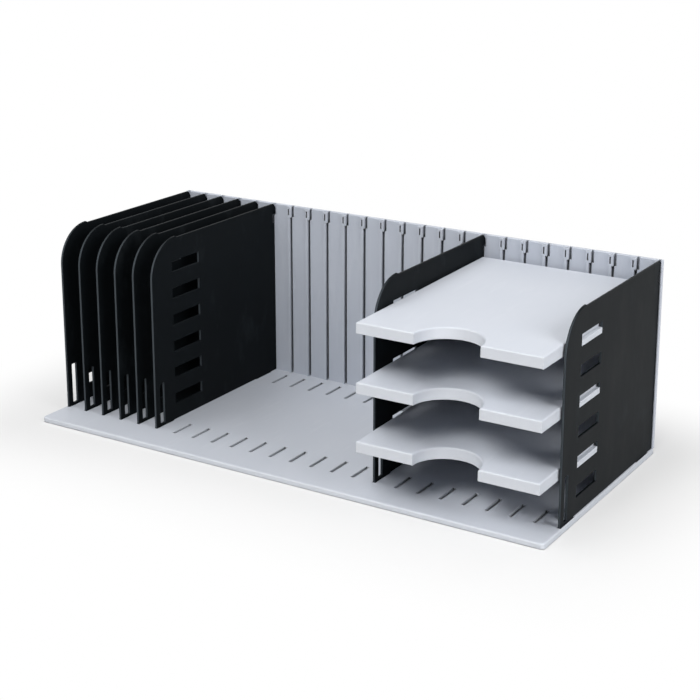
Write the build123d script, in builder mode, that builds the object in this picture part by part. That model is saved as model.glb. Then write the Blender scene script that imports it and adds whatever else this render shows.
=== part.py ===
"""Document sorter: a slotted base, a grooved rear wall, upright dividers and three hung shelves.

Millimetres. X runs along the row of dividers, Y from the front to the rear, Z up.
The origin is under the middle of the base, on the surface that the sorter stands on.
"""
import os
from math import atan2, degrees

from build123d import *

os.makedirs("parts", exist_ok=True)

# Layout: numbered divider places, the ones in use, and the windows that carry shelves
place_count = 25
divider_places = (0, 1, 2, 3, 4, 5, 16, 24)
shelf_places = divider_places[-2:]
window_count = 6
shelf_levels = ("top", "middle", "bottom")
shelf_windows = range(window_count - 1, 0, -2)

# Driving dimensions
pitch = 30.0
apron = 47.0
divider_depth = 276.4
divider_height = 245.0
divider_thickness = 3.0

# Fits and cuts
fit_clearance = 0.2
overrun = 1.0

# Divider: rounded front corner, a lip at the front of the top edge, a stepped rear edge
corner_radius = 50.0
lip_height = 2.0
lip_ramp = 4.0
nose_inset = 5.0
nose_drop = 5.0
notch_drop = 14.7
notch_height = 13.8
notch_depth = 6.4
divider_edge_radius = 0.7
window_front = 41.0
window_length = 57.0
window_height = 14.5
window_bottom_margin = 21.0
window_top_margin = 29.5
slit_front = 8.7
slit_width = 9.3
slit_bottom = 3.0
slit_length = 55.0
slit_corner_radius = 1.5
foot_depth = 4.5

# Base: a shallow moulded tray, open below
base_height = 6.2
base_skin = 2.6
base_skirt = 2.0
base_rim = 0.6
base_corner_radius = 6.0
base_edge_radius = 2.2
base_rib = 1.8
rib_setback = 0.8
slot_length = 36.0
slot_lead_width = 0.8
slot_lead_depth = 2.0
rear_slot_gap = 14.0
cross_rib_pitch_shares = (3.5, 8.5, 15.5, 20.5)
long_rib_depth_shares = (-0.42, -0.16, 0.02, 0.2)

# Pads: rubber discs in pockets under the base
pad_diameter = 14.0
pad_proud = 0.8
pad_seat = 0.8
pad_boss_wall = 2.0
pad_inset = 24.0
pad_pitch_shares = (1.5, 7.5, 16.5, 22.5)

# Rear wall: a groove, a guide rib and a spring catch at each divider place
wall_thickness = 6.0
wall_lip = 1.7
wall_edge_radius = 0.8
wall_rim = 8.0
wall_skin = 2.6
groove_seat = 2.9
groove_relief = 1.5
groove_land = 4.3
guide_width = 3.2
guide_proud = 2.2
catch_height = 16.0
catch_top_gap = 1.5
catch_slot_width = 3.7
catch_slot_offset = 2.5
catch_hole_width = 2.0
catch_hole_height = 9.0
catch_hole_depth = 2.2
catch_hole_offset = 3.3
catch_border = 1.8
tab_length = 16.0
tab_thickness = 2.4
tab_drop = 4.2
tab_pitch_shares = (0.5, 5.5, 10.5, 13.5, 18.5, 23.5)

# Shelf: an upside-down tray with a deck that rises to the rear, a finger recess and two lugs
shelf_height = 13.5
shelf_deck_rise = 4.8
shelf_wall = 2.4
shelf_edge_radius = 2.0
shelf_setback = 0.5
shelf_side_gap = 2.0
shelf_rear_gap = 8.0
shelf_drop = 1.5
recess_radius = 41.5
lug_height = 7.0
lug_edge_radius = 0.8
shelf_rib = 1.8
shelf_rib_height = 5.0
shelf_long_rib_width_shares = (-0.34, 0.0, 0.34)
shelf_cross_rib_depth_shares = (0.3, 0.5, 0.7, 0.9)

# Places worked out from the sizes above
slot_width = divider_thickness + 2 * fit_clearance
slot_lead_slope = degrees(atan2(slot_lead_width, slot_lead_depth))
groove_depth = groove_seat + groove_relief
base_top = pad_proud + base_height
base_depth = apron + divider_depth - groove_seat + wall_thickness
front_y = -base_depth / 2
rear_y = base_depth / 2
divider_front = front_y + apron
divider_rear = divider_front + divider_depth
wall_front = divider_rear - groove_seat
wall_top = base_top + divider_height
row_length = pitch * (place_count - 1)
wall_width = row_length + slot_width + 2 * wall_lip
base_width = wall_width + 2 * base_rim
slot_middles = (divider_front + slot_length / 2, wall_front - rear_slot_gap - slot_length / 2)
window_y = divider_front + window_front + window_length / 2
window_span = divider_height - window_bottom_margin - window_top_margin - window_height
window_pitch = window_span / (window_count - 1)
tab_y = wall_front + fit_clearance + tab_thickness / 2


def place_x(place):
    """The X of a divider place, counted from the left end."""
    return place * pitch - row_length / 2


def window_bottom(window):
    """The height of a window's lower edge, counted from the lowest window."""
    return base_top + window_bottom_margin + window * window_pitch


slot_spots = [(place_x(place), y) for place in range(place_count) for y in slot_middles]
pad_spots = [
    (place_x(share), y)
    for share in pad_pitch_shares
    for y in (front_y + pad_inset, rear_y - pad_inset)
]

# Base: a rounded plate, hollow below, with ribs, pad bosses and two rows of divider slots
with BuildPart() as base_plate:
    with BuildSketch(Plane.XY.offset(pad_proud)):
        RectangleRounded(base_width, base_depth, base_corner_radius)
    extrude(amount=base_height)
    fillet(base_plate.faces().sort_by(Axis.Z)[-1].edges(), base_edge_radius)
    with BuildSketch(Plane.XY.offset(pad_proud)):
        RectangleRounded(
            base_width - 2 * base_skirt,
            base_depth - 2 * base_skirt,
            base_corner_radius - base_skirt,
        )
    extrude(amount=base_height - base_skin, mode=Mode.SUBTRACT)
    with BuildSketch(Plane.XY.offset(pad_proud + rib_setback)):
        with Locations(*[(place_x(share), 0) for share in cross_rib_pitch_shares]):
            Rectangle(base_rib, base_depth - base_skirt)
        with Locations(*[(0, share * base_depth) for share in long_rib_depth_shares]):
            Rectangle(base_width - base_skirt, base_rib)
    extrude(amount=base_height - base_skin - rib_setback)
    with BuildSketch(Plane.XY.offset(pad_proud)):
        with Locations(*pad_spots):
            Circle(pad_diameter / 2 + fit_clearance + pad_boss_wall)
    extrude(amount=base_height - base_skin)
    with BuildSketch(Plane.XY.offset(pad_proud)):
        with Locations(*pad_spots):
            Circle(pad_diameter / 2 + fit_clearance)
    extrude(amount=pad_seat, mode=Mode.SUBTRACT)
    with BuildSketch(Plane.XY.offset(base_top)):
        with Locations(*slot_spots):
            Rectangle(slot_width, slot_length)
        with Locations(*[(place_x(share), tab_y) for share in tab_pitch_shares]):
            Rectangle(tab_length + 2 * fit_clearance, tab_thickness + 2 * fit_clearance)
    extrude(amount=-base_height - overrun, mode=Mode.SUBTRACT)
    # A sloped lead-in round the mouth of each slot
    with BuildSketch(Plane.XY.offset(base_top)):
        with Locations(*slot_spots):
            Rectangle(slot_width + 2 * slot_lead_width, slot_length + 2 * slot_lead_width)
    extrude(amount=-slot_lead_depth, taper=slot_lead_slope, mode=Mode.SUBTRACT)
base_plate.part.label = "base_plate"
export_step(base_plate.part, "parts/base_plate.step")

# Pads: flat rubber discs, each seated in the pocket of its boss
with BuildPart() as foot_pads:
    with BuildSketch(Plane.XY):
        with Locations(*pad_spots):
            Circle(pad_diameter / 2)
    extrude(amount=pad_proud + pad_seat)
foot_pads.part.label = "foot_pads"
export_step(foot_pads.part, "parts/foot_pads.step")

# Rear wall: a moulded plate that stands on the base, with tabs through the base's skin
all_places = range(place_count)
ribbed_places = all_places[1:]
caught_places = all_places[:-1]
free_places = [place for place in ribbed_places if place not in divider_places]
seated_places = [place for place in ribbed_places if place in divider_places]
catch_bottom = wall_top - catch_height
catch_middle = (wall_top - catch_top_gap + catch_bottom) / 2
groove_middle = (base_top + catch_bottom) / 2
guide_offset = (slot_width + guide_width) / 2
border_left = -catch_hole_offset - catch_hole_width / 2 - catch_border
free_border_right = catch_slot_offset - catch_slot_width / 2
seated_border_right = -slot_width / 2
groove_side = Plane.XZ.offset(-wall_front)

with BuildPart() as rear_wall:
    with BuildSketch(Plane.XY.offset(base_top)):
        with Locations((0, wall_front + wall_thickness / 2)):
            Rectangle(wall_width, wall_thickness)
    extrude(amount=divider_height)
    top_edges = rear_wall.faces().sort_by(Axis.Z)[-1].edges()
    end_edges = rear_wall.edges().filter_by(Axis.Z)
    fillet(top_edges + end_edges, wall_edge_radius)
    with BuildSketch(Plane.XY.offset(base_top)):
        with Locations(*[(place_x(share), tab_y) for share in tab_pitch_shares]):
            Rectangle(tab_length, tab_thickness)
    extrude(amount=-tab_drop)
    # Thinned fields at the back, one between each two grooves
    field_middle = base_top + divider_height / 2
    with BuildSketch(Plane.XZ.offset(-wall_front - wall_thickness)):
        with Locations(*[(place_x(place) + pitch / 2, field_middle) for place in caught_places]):
            Rectangle(pitch - slot_width - 2 * groove_land, divider_height - 2 * wall_rim)
    extrude(amount=wall_thickness - wall_skin, mode=Mode.SUBTRACT)
    # Guide ribs on the left of the grooves, each ending in the raised border of its catch
    with BuildSketch(groove_side):
        with Locations(*[(place_x(place) - guide_offset, groove_middle) for place in ribbed_places]):
            Rectangle(guide_width, catch_bottom - base_top)
        for places, border_right in ((free_places, free_border_right), (seated_places, seated_border_right)):
            border_offset = (border_left + border_right) / 2
            with Locations(*[(place_x(place) + border_offset, catch_middle) for place in places]):
                Rectangle(border_right - border_left, catch_height - catch_top_gap)
    extrude(amount=guide_proud)
    # Grooves, open at the top where a divider sits, with a catch slot beside each upper end
    with BuildSketch(groove_side):
        with Locations(*[(place_x(place), groove_middle) for place in all_places]):
            Rectangle(slot_width, catch_bottom - base_top)
        upper_middle = (catch_bottom + wall_top + overrun) / 2
        with Locations(*[(place_x(place) + catch_slot_offset, upper_middle) for place in caught_places]):
            Rectangle(catch_slot_width, catch_height + overrun)
        with Locations(*[(place_x(place), upper_middle) for place in divider_places]):
            Rectangle(slot_width, catch_height + overrun)
    extrude(amount=-groove_depth, mode=Mode.SUBTRACT)
    # A recess beside each catch finger that no divider has pushed aside
    with BuildSketch(groove_side.offset(guide_proud + overrun)):
        with Locations(*[(place_x(place) - catch_hole_offset, catch_middle) for place in free_places]):
            Rectangle(catch_hole_width, catch_hole_height)
    extrude(amount=-catch_hole_depth - overrun, mode=Mode.SUBTRACT)
rear_wall.part.label = "rear_wall"
export_step(rear_wall.part, "parts/rear_wall.step")


def make_divider(place):
    """One upright divider: a flat moulded panel with windows, a spring slit and two feet."""
    side = Plane.YZ.offset(place_x(place) - divider_thickness / 2)
    lip_top = wall_top + lip_height
    notch_top = wall_top - notch_drop
    notch_bottom = notch_top - notch_height
    with BuildPart() as divider:
        with BuildSketch(side):
            with BuildLine():
                front_edge = Line((divider_front, base_top), (divider_front, lip_top - corner_radius))
                corner = RadiusArc(front_edge @ 1, (divider_front + corner_radius, lip_top), corner_radius)
                Polyline(
                    corner @ 1,
                    (divider_front + corner_radius + lip_ramp, wall_top),
                    (divider_rear - nose_inset, wall_top),
                    (divider_rear, wall_top - nose_drop),
                    (divider_rear, notch_top),
                    (divider_rear - notch_depth, notch_top),
                    (divider_rear - notch_depth, notch_bottom),
                    (divider_rear, notch_bottom),
                    (divider_rear, base_top),
                    front_edge @ 0,
                )
            make_face()
        extrude(amount=divider_thickness)
        fillet(divider.faces().filter_by(Axis.X).edges(), divider_edge_radius)
        with BuildSketch(side):
            window_middles = [window_bottom(window) + window_height / 2 for window in range(window_count)]
            with Locations(*[(window_y, middle) for middle in window_middles]):
                Rectangle(window_length, window_height)
            slit_y = divider_front + slit_front + slit_width / 2
            with Locations((slit_y, base_top + slit_bottom + slit_length / 2)):
                RectangleRounded(slit_width, slit_length, slit_corner_radius)
        extrude(amount=divider_thickness, mode=Mode.SUBTRACT)
        with BuildSketch(side):
            foot_middle = base_top + (divider_edge_radius - foot_depth) / 2
            with Locations(*[(middle, foot_middle) for middle in slot_middles]):
                Rectangle(slot_length - 2 * fit_clearance, divider_edge_radius + foot_depth)
        extrude(amount=divider_thickness)
    return divider


for number, place in enumerate(divider_places, 1):
    divider = make_divider(place)
    divider.part.label = f"divider_{number}"
    export_step(divider.part, f"parts/divider_{number}.step")


def make_shelf(window):
    """One shelf: an open-bottomed tray with rounded edges, hung by its lugs in two windows."""
    left, right = [place_x(place) for place in shelf_places]
    middle_x = (left + right) / 2
    width = right - left - divider_thickness - 2 * shelf_side_gap
    front = front_y + shelf_setback
    depth = wall_front - shelf_rear_gap - front
    bottom = window_bottom(window) - shelf_drop
    deck = Plane(
        origin=(middle_x, front, bottom + shelf_height),
        x_dir=(1, 0, 0),
        z_dir=(0, -shelf_deck_rise, depth),
    )
    underside = deck.offset(-shelf_wall)
    with BuildPart() as shelf:
        with BuildSketch(Plane.XY.offset(bottom)):
            with Locations((middle_x, front + depth / 2)):
                Rectangle(width, depth)
            with Locations((middle_x, front)):
                Circle(recess_radius, mode=Mode.SUBTRACT)
        extrude(amount=shelf_height + shelf_deck_rise)
        split(bisect_by=deck, keep=Keep.BOTTOM)
        fillet(shelf.faces().sort_by(Axis.Z)[-1].edges(), shelf_edge_radius)
        # The hollow below the deck
        with BuildSketch(underside):
            with Locations((0, depth / 2)):
                Rectangle(width - 2 * shelf_wall, depth - 2 * shelf_wall)
            Circle(recess_radius + shelf_wall, mode=Mode.SUBTRACT)
        extrude(amount=-shelf_height - shelf_deck_rise, mode=Mode.SUBTRACT)
        # Stiffening ribs under the deck
        with BuildSketch(underside):
            with Locations(*[(share * width, depth / 2) for share in shelf_long_rib_width_shares]):
                Rectangle(shelf_rib, depth - shelf_wall)
            with Locations(*[(0, share * depth) for share in shelf_cross_rib_depth_shares]):
                Rectangle(width - shelf_wall, shelf_rib)
            Circle(recess_radius + shelf_wall / 2, mode=Mode.SUBTRACT)
        extrude(amount=-shelf_rib_height)
        # Lugs that stand on the windows' lower edges and end flush with the dividers' outer faces
        with BuildSketch(Plane.XY.offset(window_bottom(window))):
            with Locations((middle_x, window_y)):
                Rectangle(right - left + divider_thickness, window_length - 2 * fit_clearance)
                Rectangle(width - shelf_wall, window_length, mode=Mode.SUBTRACT)
        extrude(amount=lug_height)
        lug_ends = shelf.faces().filter_by(Axis.X).sort_by(Axis.X)
        fillet(lug_ends[0].edges() + lug_ends[-1].edges(), lug_edge_radius)
    return shelf


for level, window in zip(shelf_levels, shelf_windows):
    shelf = make_shelf(window)
    shelf.part.label = f"shelf_{level}"
    export_step(shelf.part, f"parts/shelf_{level}.step")
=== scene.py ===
import math

import bpy
import numpy as np
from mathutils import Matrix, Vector


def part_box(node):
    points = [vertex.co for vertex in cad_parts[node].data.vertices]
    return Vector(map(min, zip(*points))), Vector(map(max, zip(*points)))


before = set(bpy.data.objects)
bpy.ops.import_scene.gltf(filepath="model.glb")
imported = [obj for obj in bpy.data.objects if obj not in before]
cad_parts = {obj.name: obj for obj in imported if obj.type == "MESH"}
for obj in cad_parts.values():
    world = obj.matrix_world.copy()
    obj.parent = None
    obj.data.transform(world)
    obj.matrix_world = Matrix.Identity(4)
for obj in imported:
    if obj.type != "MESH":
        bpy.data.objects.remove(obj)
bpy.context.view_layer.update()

# Base plate: one long shallow moulding in light-grey polystyrene, open below and stiffened by ribs.
# It is injection moulded in a spark-eroded mould, which leaves a fine, even satin grain.
# The rear wall and the dividers plug into its slots.
LIGHT_GREY = "#C3C8D1"
LIGHT_GREY_PALE = "#C9CDD5"
# The palest grey stands for rubbing and painted highlight on edges and fronts; the darkest grey for dust and
# painted shade in inside corners, grooves and slots.
LIGHT_GREY_WORN_AND_LIT = "#E2E5EA"
LIGHT_GREY_DUST_AND_SHADE = "#141618"


def linear(hex_colour):
    """Linear RGBA of an sRGB hex: c / 12.92 up to 0.04045, above it ((c + 0.055) / 1.055) ** 2.4."""
    srgb = np.array([int(hex_colour[start:start + 2], 16) for start in (1, 3, 5)]) / 255
    rgb = np.where(srgb <= 0.04045, srgb / 12.92, ((srgb + 0.055) / 1.055) ** 2.4)
    return (*rgb.tolist(), 1.0)


def add_node(tree, kind, inputs=None, **settings):
    """One node: settings are its own properties, inputs hold values or other nodes' outputs by socket."""
    node = tree.nodes.new(kind)
    for name, value in settings.items():
        setattr(node, name, value)
    for socket, value in (inputs or {}).items():
        if isinstance(value, bpy.types.NodeSocket):
            tree.links.new(value, node.inputs[socket])
        else:
            node.inputs[socket].default_value = value
    return node


def per_metre(*sizes):
    """Pattern scales for features of these sizes in millimetres."""
    return tuple(1000 / size for size in sizes)


def moulded_polystyrene(name, colours, streak, roughness, specular, edge_wear_and_highlight, front_wear, dust_and_shade):
    """Satin polystyrene: cloudy pigment, drawn-out rub marks, a fine grain, edges and fronts painted paler
    as rubbing and painted highlight, and inside corners painted darker as dust and painted shade.

    Colours are main, pale, a paler one for rubbing and painted highlight, and a dark one for dust and
    painted shade. Streak is the size of one rub mark along X, Y and Z in mm.
    Roughness is its lowest and highest value, and specular its level. The edge and front shares are the
    shares of the paler colour along edges and on faces that look to the front: rubbing where hands reach,
    and a painted highlight for the light that edges and fronts catch.
    The last triple holds the share of the dark colour in inside corners, grooves and slots, which is dust
    with painted shade, then the share of open air round a spot where it starts and where it is full.
    """
    cloud_size = 70.0
    grain_size = 1.6  # the real grain is about 0.15 mm, too fine to show, so it is drawn coarser
    grain_height = 0.012
    edge_width = 0.7
    corner_reach = 5.0
    main, pale, worn_and_lit, dust_and_shade_colour = [linear(colour) for colour in colours]
    dust_and_shade_share, dust_and_shade_start, dust_and_shade_full = dust_and_shade
    material = bpy.data.materials.new(name)
    material.use_nodes = True
    tree = material.node_tree
    tree.nodes.clear()
    surface = add_node(tree, "ShaderNodeTexCoord").outputs
    place = surface["Object"]

    cloud = add_node(tree, "ShaderNodeTexNoise", {
        "Vector": place, "Scale": per_metre(cloud_size)[0], "Detail": 4.0, "Roughness": 0.6})
    pigment = add_node(tree, "ShaderNodeMix", {0: cloud.outputs["Fac"], 6: main, 7: pale}, data_type="RGBA")

    drawn = add_node(tree, "ShaderNodeMapping", {"Vector": place, "Scale": per_metre(*streak)})
    streaks = add_node(tree, "ShaderNodeTexNoise", {
        "Vector": drawn.outputs["Vector"], "Scale": 1.0, "Detail": 5.0, "Roughness": 0.65})
    rub = add_node(tree, "ShaderNodeMapRange", {
        "Value": streaks.outputs["Fac"], "From Min": 0.55, "From Max": 0.9, "To Min": 0.0, "To Max": 0.3})

    # Edges within the bevel's radius turn paler: rubbing, and a painted highlight for the light a rounded
    # edge catches.
    rounded = add_node(tree, "ShaderNodeBevel", {"Radius": edge_width / 1000}, samples=6)
    facing = add_node(tree, "ShaderNodeNewGeometry").outputs["Normal"]
    flatness = add_node(tree, "ShaderNodeVectorMath", {
        0: rounded.outputs["Normal"], 1: facing}, operation="DOT_PRODUCT")
    worn_and_lit_edge = add_node(tree, "ShaderNodeMapRange", {
        "Value": flatness.outputs["Value"], "From Min": 0.99, "From Max": 0.8,
        "To Min": 0.0, "To Max": edge_wear_and_highlight})
    # Faces that look to the front turn paler: painted light on the fronts, with some rubbing where hands
    # reach.
    forward = add_node(tree, "ShaderNodeSeparateXYZ", {"Vector": surface["Normal"]})
    front = add_node(tree, "ShaderNodeMapRange", {
        "Value": forward.outputs["Y"], "From Min": -0.3, "From Max": -0.9,
        "To Min": 0.0, "To Max": front_wear})
    edges_and_fronts_paling = add_node(tree, "ShaderNodeMath", {
        0: worn_and_lit_edge.outputs["Result"], 1: front.outputs["Result"]}, operation="MAXIMUM")
    wear_and_light_share = add_node(tree, "ShaderNodeMath", {
        0: rub.outputs["Result"], 1: edges_and_fronts_paling.outputs["Value"]}, operation="ADD", use_clamp=True)
    wear_and_light_colour = add_node(tree, "ShaderNodeMix", {
        0: wear_and_light_share.outputs["Value"], 6: pigment.outputs[2], 7: worn_and_lit}, data_type="RGBA")

    # Inside corners, grooves and slots darken towards the dark colour: dust, together with painted shade
    # where little light reaches.
    open_air = add_node(tree, "ShaderNodeAmbientOcclusion", {
        "Distance": corner_reach / 1000}, samples=8, only_local=True)
    painted_shade = add_node(tree, "ShaderNodeMapRange", {
        "Value": open_air.outputs["AO"], "From Min": dust_and_shade_start, "From Max": dust_and_shade_full,
        "To Min": 0.0, "To Max": dust_and_shade_share})
    colour = add_node(tree, "ShaderNodeMix", {
        0: painted_shade.outputs["Result"], 6: wear_and_light_colour.outputs[2], 7: dust_and_shade_colour}, data_type="RGBA")

    gloss = add_node(tree, "ShaderNodeMapRange", {
        "Value": streaks.outputs["Fac"], "From Min": 0.3, "From Max": 0.7,
        "To Min": roughness[0], "To Max": roughness[1]})
    grain = add_node(tree, "ShaderNodeTexNoise", {
        "Vector": place, "Scale": per_metre(grain_size)[0], "Detail": 2.0, "Roughness": 0.5})
    relief = add_node(tree, "ShaderNodeBump", {
        "Strength": 1.0, "Distance": grain_height / 1000, "Height": grain.outputs["Fac"],
        "Normal": rounded.outputs["Normal"]})

    shader = add_node(tree, "ShaderNodeBsdfPrincipled", {
        "Base Color": colour.outputs[2], "Roughness": gloss.outputs["Result"], "IOR": 1.59,
        "Specular IOR Level": specular, "Normal": relief.outputs["Normal"]})
    add_node(tree, "ShaderNodeOutputMaterial", {"Surface": shader.outputs["BSDF"]})
    return material


def dress(node_name, material):
    """Put a material in every slot of a CAD node."""
    for material_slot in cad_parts[node_name].material_slots:
        material_slot.material = material


light_grey = (LIGHT_GREY, LIGHT_GREY_PALE, LIGHT_GREY_WORN_AND_LIT, LIGHT_GREY_DUST_AND_SHADE)
# Its front skirt, the slots' rear ends and other faces that look to the front are painted paler, painted
# light with some rubbing; its edges pale as rubbing and painted highlight; its slots go near-black, dust
# with painted shade.
base_finish = moulded_polystyrene(
    "light_grey_polystyrene_moulded_base", light_grey, streak=(12.0, 70.0, 12.0), roughness=(0.42, 0.54),
    specular=0.3, edge_wear_and_highlight=0.8, front_wear=0.4, dust_and_shade=(1.0, 0.85, 0.6))
dress("base_plate", base_finish)

# Pads: small rubber discs, pressed into round pockets under the base so that it doesn't slide.
# They are cut from calendered rubber, dull and slightly dusty.
RUBBER_BLACK = "#232324"
RUBBER_DUSTY = "#3A3A39"
dust_size = 2.5
dust_height = 0.05
rubber = bpy.data.materials.new("black_rubber_calendered")
rubber.use_nodes = True
rubber_tree = rubber.node_tree
rubber_tree.nodes.clear()
rubber_place = add_node(rubber_tree, "ShaderNodeTexCoord").outputs["Object"]
rubber_dust = add_node(rubber_tree, "ShaderNodeTexNoise", {
    "Vector": rubber_place, "Scale": per_metre(dust_size)[0], "Detail": 4.0})
rubber_colour = add_node(rubber_tree, "ShaderNodeMix", {
    0: rubber_dust.outputs["Fac"], 6: linear(RUBBER_BLACK), 7: linear(RUBBER_DUSTY)}, data_type="RGBA")
rubber_relief = add_node(rubber_tree, "ShaderNodeBump", {
    "Strength": 1.0, "Distance": dust_height / 1000, "Height": rubber_dust.outputs["Fac"]})
rubber_shader = add_node(rubber_tree, "ShaderNodeBsdfPrincipled", {
    "Base Color": rubber_colour.outputs[2], "Roughness": 0.8, "IOR": 1.52,
    "Normal": rubber_relief.outputs["Normal"]})
add_node(rubber_tree, "ShaderNodeOutputMaterial", {"Surface": rubber_shader.outputs["BSDF"]})
dress("foot_pads", rubber)

# Rear wall: a moulded light-grey plate with a groove, a guide rib and a small catch at every place.
# Its tabs press into the base, and the dividers slide down its grooves, so its rub marks run upright.
# Its greys are the light grey made darker and bluer: painted shade. Its grooves and catches darken as dust
# with painted shade, and its ribs and edges pale as rubbing with painted highlight.
WALL_GREY_IN_SHADE = "#BAC0CB"
WALL_GREY_PALE_IN_SHADE = "#C1C6D0"
wall_greys_in_shade = (WALL_GREY_IN_SHADE, WALL_GREY_PALE_IN_SHADE, LIGHT_GREY_WORN_AND_LIT, LIGHT_GREY_DUST_AND_SHADE)
wall_finish = moulded_polystyrene(
    "light_grey_polystyrene_moulded_wall", wall_greys_in_shade, streak=(10.0, 10.0, 80.0), roughness=(0.42, 0.54),
    specular=0.3, edge_wear_and_highlight=0.8, front_wear=0.0, dust_and_shade=(0.95, 0.68, 0.25))
dress("rear_wall", wall_finish)

# Dividers: eight flat panels in black polystyrene, each with six windows, a spring slit and two feet.
# They are injection moulded with a satin grain, which keeps the black dull, and slide down into the
# wall's grooves. Their fronts and edges are painted paler, rubbed by paper and a painted highlight for the
# light on the rounded front edges, and their slits and inside corners darker, dust with painted shade.
divider_count = 8
BLACK = "#0F1214"
BLACK_PALE = "#13171A"
# The paler black stands for rubbing and painted highlight on edges and fronts; the darkest black for dust
# and painted shade in slits and corners.
BLACK_WORN_AND_LIT = "#4A5055"
BLACK_DUST_AND_SHADE = "#08090A"
black = (BLACK, BLACK_PALE, BLACK_WORN_AND_LIT, BLACK_DUST_AND_SHADE)
divider_finish = moulded_polystyrene(
    "black_polystyrene_moulded", black, streak=(60.0, 60.0, 120.0), roughness=(0.44, 0.52),
    specular=0.03, edge_wear_and_highlight=0.3, front_wear=0.8, dust_and_shade=(0.95, 0.68, 0.25))
for number in range(1, divider_count + 1):
    dress(f"divider_{number}", divider_finish)

# Shelves: three light-grey upside-down trays with a half-round finger recess at the front.
# They are moulded in the same polystyrene, a little duller, and hang by their lugs in the dividers'
# windows. What slides over them leaves faint marks from front to rear.
# Their fronts and edges are painted paler, painted light and highlight with some rubbing, and a little dust
# with painted shade darkens their inside corners.
shelf_finish = moulded_polystyrene(
    "light_grey_polystyrene_moulded_shelf", light_grey, streak=(14.0, 110.0, 14.0), roughness=(0.46, 0.58),
    specular=0.25, edge_wear_and_highlight=0.4, front_wear=0.5, dust_and_shade=(0.2, 0.68, 0.25))
for level in ("top", "middle", "bottom"):
    dress(f"shelf_{level}", shelf_finish)

# Floor: a plain white studio table, painted matt, that stands in for the surface under the sorter.
# It keeps the sorter's shadow close by and fades into the white backdrop farther out.
FLOOR_WHITE = "#E2E2E2"
floor_radius = 12.0
fade_width = 0.2
shadow_lift = 0.4
base_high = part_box("base_plate")[1]


def disc(radius, rings, sectors):
    """A flat disc on a polar grid: the point at ring u and angle v is radius * u ** 2 * (cos v, sin v)."""
    u, v = np.meshgrid(np.linspace(0, 1, rings), np.linspace(0, 2 * math.pi, sectors, endpoint=False))
    reach = radius * u ** 2
    points = np.stack((reach * np.cos(v), reach * np.sin(v), np.zeros_like(v)), axis=-1).reshape(-1, 3)
    ring, sector = np.meshgrid(np.arange(rings - 1), np.arange(sectors))
    first = sector * rings + ring
    after = (sector + 1) % sectors * rings + ring
    faces = np.stack((first, first + 1, after + 1, after), axis=-1).reshape(-1, 4)
    return points, faces


floor_points, floor_faces = disc(floor_radius, rings=24, sectors=64)
floor_mesh = bpy.data.meshes.new("studio_floor")
floor_mesh.from_pydata(floor_points.tolist(), [], floor_faces.tolist())
floor = bpy.data.objects.new("studio_floor", floor_mesh)
bpy.context.scene.collection.objects.link(floor)
floor_finish = bpy.data.materials.new("white_studio_table")
floor_finish.use_nodes = True
floor_tree = floor_finish.node_tree
floor_tree.nodes.clear()

# How far a spot lies from the base's outline sets how much white lies over the shadow: none under the base,
# some beside it, and all of it beyond the fade's width.
floor_place = add_node(floor_tree, "ShaderNodeTexCoord").outputs["Object"]
floor_side = add_node(floor_tree, "ShaderNodeVectorMath", {0: floor_place}, operation="ABSOLUTE")
floor_beyond = add_node(floor_tree, "ShaderNodeVectorMath", {
    0: floor_side.outputs["Vector"], 1: (base_high.x, base_high.y, 0.0)}, operation="SUBTRACT")
floor_outside = add_node(floor_tree, "ShaderNodeVectorMath", {
    0: floor_beyond.outputs["Vector"], 1: (0.0, 0.0, 0.0)}, operation="MAXIMUM")
floor_distance = add_node(floor_tree, "ShaderNodeVectorMath", {
    0: floor_outside.outputs["Vector"]}, operation="LENGTH")
floor_fade = add_node(floor_tree, "ShaderNodeMapRange", {
    "Value": floor_distance.outputs["Value"], "From Min": 0.0, "From Max": fade_width,
    "To Min": shadow_lift, "To Max": 1.0}, interpolation_type="SMOOTHSTEP")
floor_beside = add_node(floor_tree, "ShaderNodeMath", {
    0: floor_distance.outputs["Value"], 1: 0.0}, operation="GREATER_THAN")
floor_shown = add_node(floor_tree, "ShaderNodeMath", {
    0: floor_fade.outputs["Result"], 1: floor_beside.outputs["Value"]}, operation="MULTIPLY")


def seen_directly(tree):
    """1 for camera, glossy and transmission rays, 0 for the rays that carry soft light."""
    path = add_node(tree, "ShaderNodeLightPath").outputs
    mirrored = add_node(tree, "ShaderNodeMath", {
        0: path["Is Glossy Ray"], 1: path["Is Transmission Ray"]}, operation="MAXIMUM")
    return add_node(tree, "ShaderNodeMath", {
        0: path["Is Camera Ray"], 1: mirrored.outputs["Value"]}, operation="MAXIMUM").outputs["Value"]


floor_glow = add_node(floor_tree, "ShaderNodeMath", {
    0: floor_shown.outputs["Value"], 1: seen_directly(floor_tree)}, operation="MULTIPLY")
floor_matt = add_node(floor_tree, "ShaderNodeBsdfDiffuse", {"Color": linear(FLOOR_WHITE)})
floor_white = add_node(floor_tree, "ShaderNodeEmission", {"Strength": 1.0})
floor_mix = add_node(floor_tree, "ShaderNodeMixShader", {
    0: floor_glow.outputs["Value"], 1: floor_matt.outputs["BSDF"], 2: floor_white.outputs["Emission"]})
add_node(floor_tree, "ShaderNodeOutputMaterial", {"Surface": floor_mix.outputs["Shader"]})
floor_mesh.materials.append(floor_finish)

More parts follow.
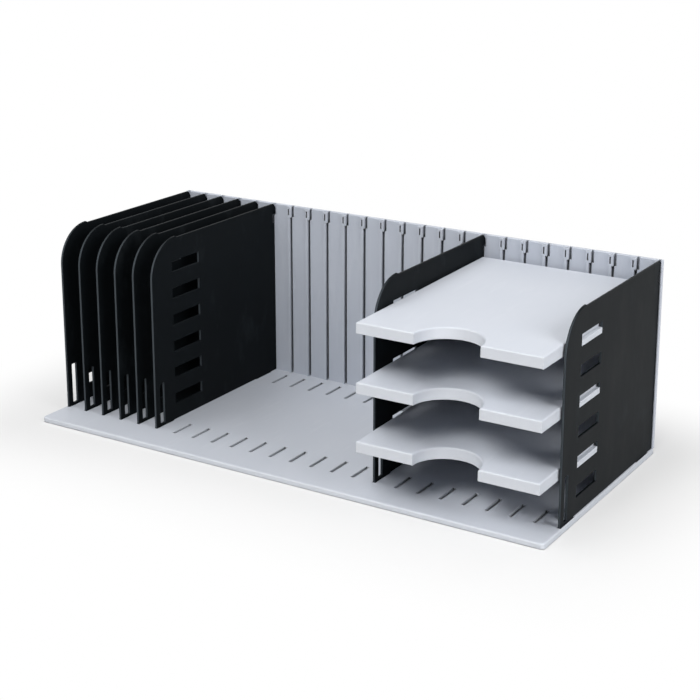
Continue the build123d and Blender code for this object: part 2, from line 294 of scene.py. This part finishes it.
# Light: a softbox high in front, a large one above at the left, others at the right and behind,
# and a dim white studio round them all.
studio = bpy.data.worlds.new("white_studio")
bpy.context.scene.world = studio
studio.use_nodes = True
studio_tree = studio.node_tree
studio_tree.nodes.clear()
studio_light = add_node(studio_tree, "ShaderNodeBackground", {"Color": (1, 1, 1, 1), "Strength": 0.06})
studio_white = add_node(studio_tree, "ShaderNodeBackground", {"Color": (1, 1, 1, 1), "Strength": 1.0})
studio_mix = add_node(studio_tree, "ShaderNodeMixShader", {
    0: seen_directly(studio_tree), 1: studio_light.outputs["Background"],
    2: studio_white.outputs["Background"]})
add_node(studio_tree, "ShaderNodeOutputWorld", {"Surface": studio_mix.outputs["Shader"]})

softboxes = {
    "top_softbox": {"place": (-0.8, -0.55, 2.1), "size": 1.6, "power": 23.0},
    "front_softbox": {"place": (0.3, -1.5, 1.9), "size": 1.0, "power": 29.0},
    "right_softbox": {"place": (1.9, -0.3, 1.1), "size": 1.2, "power": 24.0},
    "rear_softbox": {"place": (0.5, 2.0, 1.2), "size": 1.2, "power": 10.0},
}
light_aim = Vector((0.0, 0.0, 0.1))
for name, softbox in softboxes.items():
    lamp = bpy.data.lights.new(name, "AREA")
    lamp.energy = softbox["power"]
    lamp.size = softbox["size"]
    lamp_object = bpy.data.objects.new(name, lamp)
    lamp_object.location = softbox["place"]
    lamp_object.rotation_euler = (light_aim - lamp_object.location).to_track_quat("-Z", "Y").to_euler()
    bpy.context.scene.collection.objects.link(lamp_object)

# Camera: from the right of the front, looking down a little, with a small vertical shift of the lens.
# Its place and its lens were fitted to the photograph's edges.
azimuth = math.radians(31.892)
elevation = math.radians(14.791)
camera_distance = 1.97892
camera_aim = Vector((-0.006589, 0.03375, 0.247778))
focal_pixels = 1556.79
image_pixels = 700
sensor_width = 36.0
to_camera = Vector((
    math.sin(azimuth) * math.cos(elevation), -math.cos(azimuth) * math.cos(elevation), math.sin(elevation)))
camera_data = bpy.data.cameras.new("photo_camera")
camera_data.sensor_width = sensor_width
camera_data.lens = focal_pixels * sensor_width / image_pixels
camera_data.shift_y = -0.15
camera = bpy.data.objects.new("photo_camera", camera_data)
camera.location = camera_aim + to_camera * camera_distance
camera.rotation_euler = (-to_camera).to_track_quat("-Z", "Y").to_euler()
bpy.context.scene.collection.objects.link(camera)
bpy.context.scene.camera = camera
bpy.context.scene.view_settings.view_transform = "Standard"
